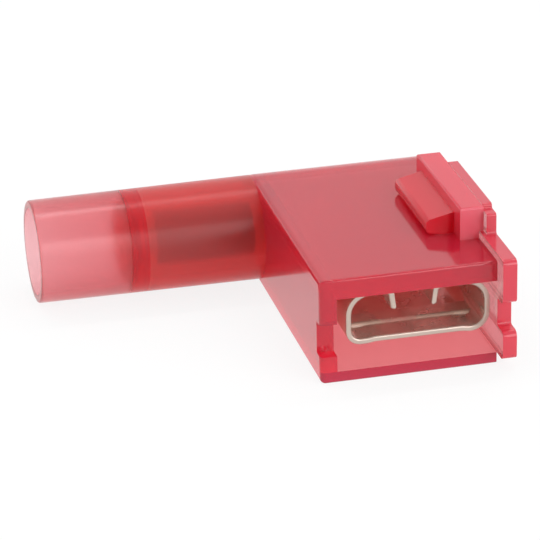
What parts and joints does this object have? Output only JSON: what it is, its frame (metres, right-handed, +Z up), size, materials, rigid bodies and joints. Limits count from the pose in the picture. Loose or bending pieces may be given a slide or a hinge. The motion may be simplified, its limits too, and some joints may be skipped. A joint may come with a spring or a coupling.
{
  "type": "flag spade terminal",
  "caption": "Fully insulated push-on flag receptacle: translucent moulded housing with side entry wire tube, snapped side cover and rolled spade socket.",
  "frame": {"origin": "on the flat underside, at the middle of the flat footprint of the box", "axes": "+Z up from the underside, -Y out of the mouth that takes the tab, -X along the wire tube to its open end"},
  "size_m": [0.0223, 0.0183, 0.0074],
  "materials": {
    "red_nylon": "glossy translucent red nylon",
    "red_nylon_cover": "glossy translucent red nylon",
    "tin_plate": "tin plated, bright"
  },
  "bodies": {
    "root": {"housing": "red_nylon", "side_cover": "red_nylon_cover", "terminal": "tin_plate"}
  },
  "joints": []
}
